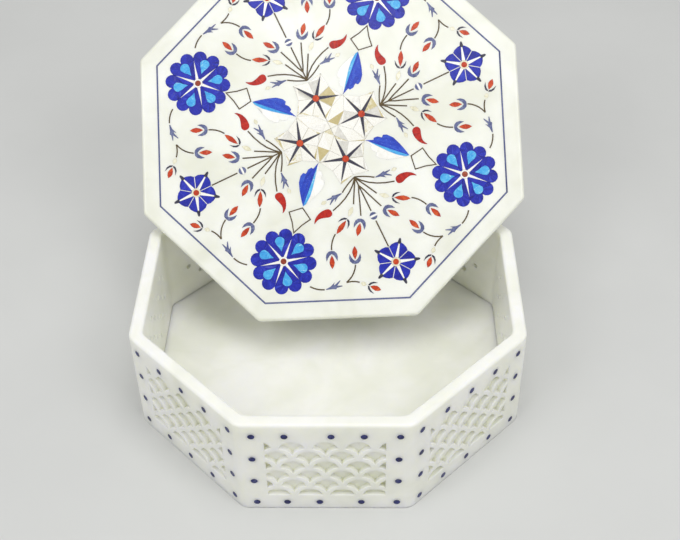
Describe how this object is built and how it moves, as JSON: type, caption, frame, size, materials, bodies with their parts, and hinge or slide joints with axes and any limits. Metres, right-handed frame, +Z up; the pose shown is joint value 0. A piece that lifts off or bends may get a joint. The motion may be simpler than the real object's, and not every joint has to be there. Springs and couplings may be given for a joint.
{
  "type": "inlaid marble box",
  "caption": "Octagonal white marble jewellery box with pierced scale-pattern walls and a loose lid inlaid with blue flowers, red buds and shell.",
  "frame": {"origin": "centre of the underside of the box, on the table", "axes": "+Z up; the front wall panel faces -Y; +X is to the right seen from the front; the lid is stored leaning back in the mouth of the open box"},
  "size_m": [0.2111, 0.2564, 0.1781],
  "materials": {
    "marble_box": "honed white marble",
    "marble_lid": "polished white marble",
    "lapis": "polished lapis lazuli",
    "blue_lapis": "polished medium blue stone",
    "turquoise": "polished turquoise",
    "pearl": "polished mother-of-pearl",
    "shell": "polished pale shell",
    "carnelian": "polished orange-red carnelian",
    "carnelian_deep": "polished red carnelian",
    "jasper": "polished red-brown jasper",
    "slate_blue": "polished grey-blue stone",
    "grey_stone": "polished dark grey stone",
    "stem_stone": "polished olive-brown stone"
  },
  "bodies": {
    "box": {"base_slab": "marble_box", "wall_front": "marble_box", "wall_front_right": "marble_box", "wall_right": "marble_box", "wall_back_right": "marble_box", "wall_back": "marble_box", "wall_back_left": "marble_box", "wall_left": "marble_box", "wall_front_left": "marble_box", "dots_front": "lapis", "dots_front_right": "lapis", "dots_right": "lapis", "dots_back_right": "lapis", "dots_back": "lapis", "dots_back_left": "lapis", "dots_left": "lapis", "dots_front_left": "lapis"},
    "lid": {"lid_slab": "marble_lid", "locating_plate": "marble_lid", "border_line": "slate_blue", "rosette_lobes": "lapis", "rosette_drops": "turquoise", "rosette_rays": "pearl", "rosette_rings": "pearl", "rosette_eyes": "jasper", "starflower_petals": "lapis", "starflower_tips": "grey_stone", "starflower_rays": "pearl", "starflower_threads": "pearl", "starflower_rings": "shell", "starflower_eyes": "carnelian", "lotus_lobes": "blue_lapis", "lotus_bands": "turquoise", "lotus_shells": "pearl", "star_needles": "grey_stone", "star_facets": "pearl", "star_eyes": "carnelian", "centre_kites": "pearl", "stems": "stem_stone", "diamonds": "stem_stone", "bud_petals": "carnelian", "bud_calyxes": "slate_blue", "bud_husks": "grey_stone", "paisleys": "carnelian_deep", "sprigs": "slate_blue", "shell_leaves": "shell", "bead_caps": "slate_blue", "bead_bands": "pearl"}
  },
  "joints": [
    {"name": "lid_lift", "type": "slide", "parent": "box", "child": "lid", "axis": [0, 0, 1], "range_m": [0, 0.12]}
  ]
}
